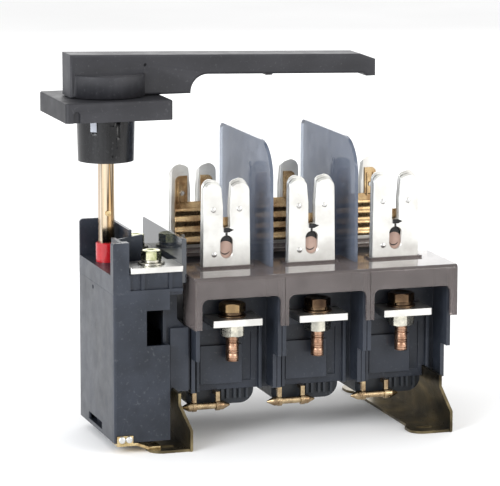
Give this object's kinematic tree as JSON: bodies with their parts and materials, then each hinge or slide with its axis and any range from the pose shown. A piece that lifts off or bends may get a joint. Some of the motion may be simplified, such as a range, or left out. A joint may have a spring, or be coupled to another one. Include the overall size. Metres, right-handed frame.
{
  "type": "fuse combination switch",
  "caption": "Fuse combination switch with a solid neutral link: slotted clips for bladed fuses, bolted terminals and a door handle on an extension shaft.",
  "frame": {"origin": "centre of the four mounting slots, on the mounting plane", "axes": "+X along the row of poles away from the operating shaft, +Y to the rear terminals, +Z away from the mounting plane"},
  "size_m": [0.2887, 0.168, 0.2849],
  "materials": {
    "housing": "dark slate glass-filled moulding, faintly grained",
    "charcoal": "charcoal moulding, satin",
    "black_moulding": "black moulding",
    "light_insert": "light grey indicator",
    "red_coupler": "glossy red moulding",
    "silver_plated": "silver-plated copper, bright satin",
    "passivated_steel": "yellow-passivated zinc on steel",
    "passivated_spring": "yellow-passivated spring steel",
    "zinc_steel": "bright zinc on steel",
    "bronze_bolt": "bronze-toned passivated steel",
    "drive_plastic": "dark glass-filled moulding",
    "pinion_brass": "machined brass",
    "clear_barrier": "blue-grey translucent sheet",
    "smoked_barrier": "dark translucent sheet",
    "smoked_shroud": "smoky clear moulding, glossy"
  },
  "bodies": {
    "switch_body": {"bracket_left": "passivated_steel", "bracket_right": "passivated_steel", "base_strip": "passivated_steel", "ear_screws": "zinc_steel", "mechanism_housing": "housing", "mechanism_cover": "housing", "corner_trim": "housing", "top_cap": "housing", "neutral_link": "silver_plated", "pole_base_1": "housing", "arc_chamber_1": "housing", "front_lug_1": "silver_plated", "rear_lug_1": "silver_plated", "front_fuse_clip_1": "silver_plated", "rear_fuse_clip_1": "silver_plated", "pole_base_2": "housing", "arc_chamber_2": "housing", "front_lug_2": "silver_plated", "rear_lug_2": "silver_plated", "front_fuse_clip_2": "silver_plated", "rear_fuse_clip_2": "silver_plated", "pole_base_3": "housing", "arc_chamber_3": "housing", "front_lug_3": "silver_plated", "rear_lug_3": "silver_plated", "front_fuse_clip_3": "silver_plated", "rear_fuse_clip_3": "silver_plated", "clip_springs": "passivated_spring", "clip_rivets": "zinc_steel", "slot_stops": "black_moulding", "terminal_bolts": "bronze_bolt", "spring_washers": "zinc_steel", "flat_washers": "zinc_steel", "hex_nuts": "passivated_steel", "tie_pins": "passivated_steel", "eye_bars": "passivated_steel", "idler_pin": "zinc_steel", "detent_spring": "zinc_steel", "escutcheon": "charcoal", "escutcheon_boss": "black_moulding", "boss_insert": "light_insert", "phase_barrier_1": "clear_barrier", "phase_barrier_2": "clear_barrier", "neutral_barrier": "smoked_barrier", "front_shroud": "smoked_shroud", "rear_shroud": "smoked_shroud"},
    "handle_shaft": {"handle_lever": "charcoal", "extension_shaft": "zinc_steel", "shaft_pin": "passivated_spring", "shaft_coupler": "red_coupler", "spindle": "zinc_steel", "drive_pinion": "pinion_brass"},
    "idler": {"idler_gear": "drive_plastic"},
    "contact_bar": {"drive_bar": "drive_plastic", "contact_carriers": "drive_plastic", "contact_springs": "zinc_steel", "moving_contacts_1": "silver_plated", "moving_contacts_2": "silver_plated", "moving_contacts_3": "silver_plated"},
    "lock_slide": {"lock_slide": "charcoal"}
  },
  "joints": [
    {"name": "handle_turn", "type": "hinge", "parent": "switch_body", "child": "handle_shaft", "pos_m": [-0.1278, -0.009, 0.25], "axis": [0, 0, -1], "range_deg": [0, 90], "deforming": ["detent_spring"]},
    {"name": "idler_turn", "type": "hinge", "parent": "switch_body", "child": "idler", "pos_m": [-0.1118, -0.009, 0.08], "axis": [0, 0, 1], "range_deg": [0, 79.5]},
    {"name": "bar_slide", "type": "slide", "parent": "switch_body", "child": "contact_bar", "axis": [-1, 0, 0], "range_m": [0, 0.0118]},
    {"name": "lock_travel", "type": "slide", "parent": "handle_shaft", "child": "lock_slide", "axis": [1, 0, 0], "range_m": [0, 0.006]}
  ],
  "couplings": [
    {"joint": "idler_turn", "follows": "handle_turn", "ratio": 0.88235},
    {"joint": "bar_slide", "follows": "handle_turn", "m_per_rad": 0.0075}
  ]
}
